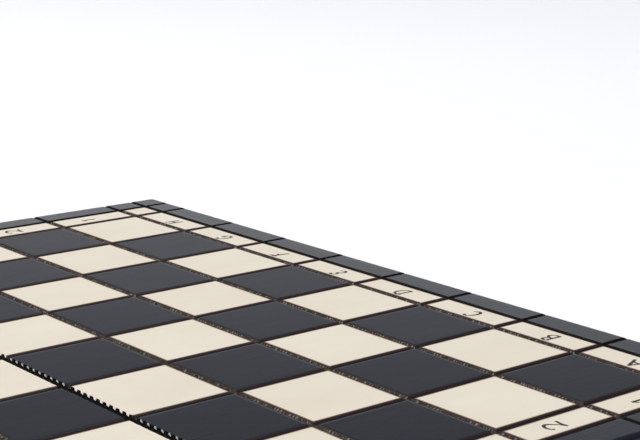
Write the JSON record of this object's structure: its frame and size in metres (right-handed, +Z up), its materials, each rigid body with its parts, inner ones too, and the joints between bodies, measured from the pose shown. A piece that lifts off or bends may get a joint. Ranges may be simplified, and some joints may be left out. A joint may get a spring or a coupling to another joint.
{
  "type": "folding chess board",
  "caption": "Square wooden chess board of two hinged open trays that folds face out into a flat case, with scored squares, a coordinate band, felt linings and swinging hook latches.",
  "frame": {"origin": "centre of the open board, on the surface that it lies on", "axes": "+X along the ranks towards the a-file, +Y along the files towards White's side, +Z up out of the playing surface"},
  "size_m": [0.313, 0.3214, 0.0266],
  "materials": {
    "panel_wood": "pale hardwood with dark stained squares and burnt lines, clear gloss lacquer",
    "frame_wood": "hardwood stained near black, clear gloss lacquer",
    "lining_felt": "pressed wool felt",
    "hinge_brass": "stamped, lightly worn",
    "latch_brass": "stamped, polished",
    "screw_brass": "turned, slotted"
  },
  "bodies": {
    "white_half": {"white_playing_panel": "panel_wood", "white_outer_rail": "frame_wood", "white_left_rail": "frame_wood", "white_right_rail": "frame_wood", "white_seam_rail": "frame_wood", "white_lining": "lining_felt", "a_hinge_white_leaf": "hinge_brass", "h_hinge_white_leaf": "hinge_brass", "white_hinge_screws": "screw_brass", "a_hinge_pin": "hinge_brass", "h_hinge_pin": "hinge_brass", "pivot_screws": "screw_brass", "pivot_washers": "latch_brass"},
    "black_half": {"black_playing_panel": "panel_wood", "black_outer_rail": "frame_wood", "black_left_rail": "frame_wood", "black_right_rail": "frame_wood", "black_seam_rail": "frame_wood", "black_lining": "lining_felt", "a_hinge_black_leaf": "hinge_brass", "h_hinge_black_leaf": "hinge_brass", "black_hinge_screws": "screw_brass", "catch_screws": "screw_brass", "catch_washers": "latch_brass"},
    "a_hook": {"a_latch_hook": "latch_brass"},
    "h_hook": {"h_latch_hook": "latch_brass"}
  },
  "joints": [
    {"name": "fold", "type": "hinge", "parent": "white_half", "child": "black_half", "pos_m": [0, 0, 0.0014], "axis": [1, 0, 0], "range_deg": [0, 180]},
    {"name": "a_hook_swing", "type": "hinge", "parent": "white_half", "child": "a_hook", "pos_m": [0.0825, 0.15835, 0.00955], "axis": [0, -1, 0], "range_deg": [0, 90]},
    {"name": "h_hook_swing", "type": "hinge", "parent": "white_half", "child": "h_hook", "pos_m": [-0.0825, 0.15835, 0.00955], "axis": [0, -1, 0], "range_deg": [0, 90]}
  ]
}
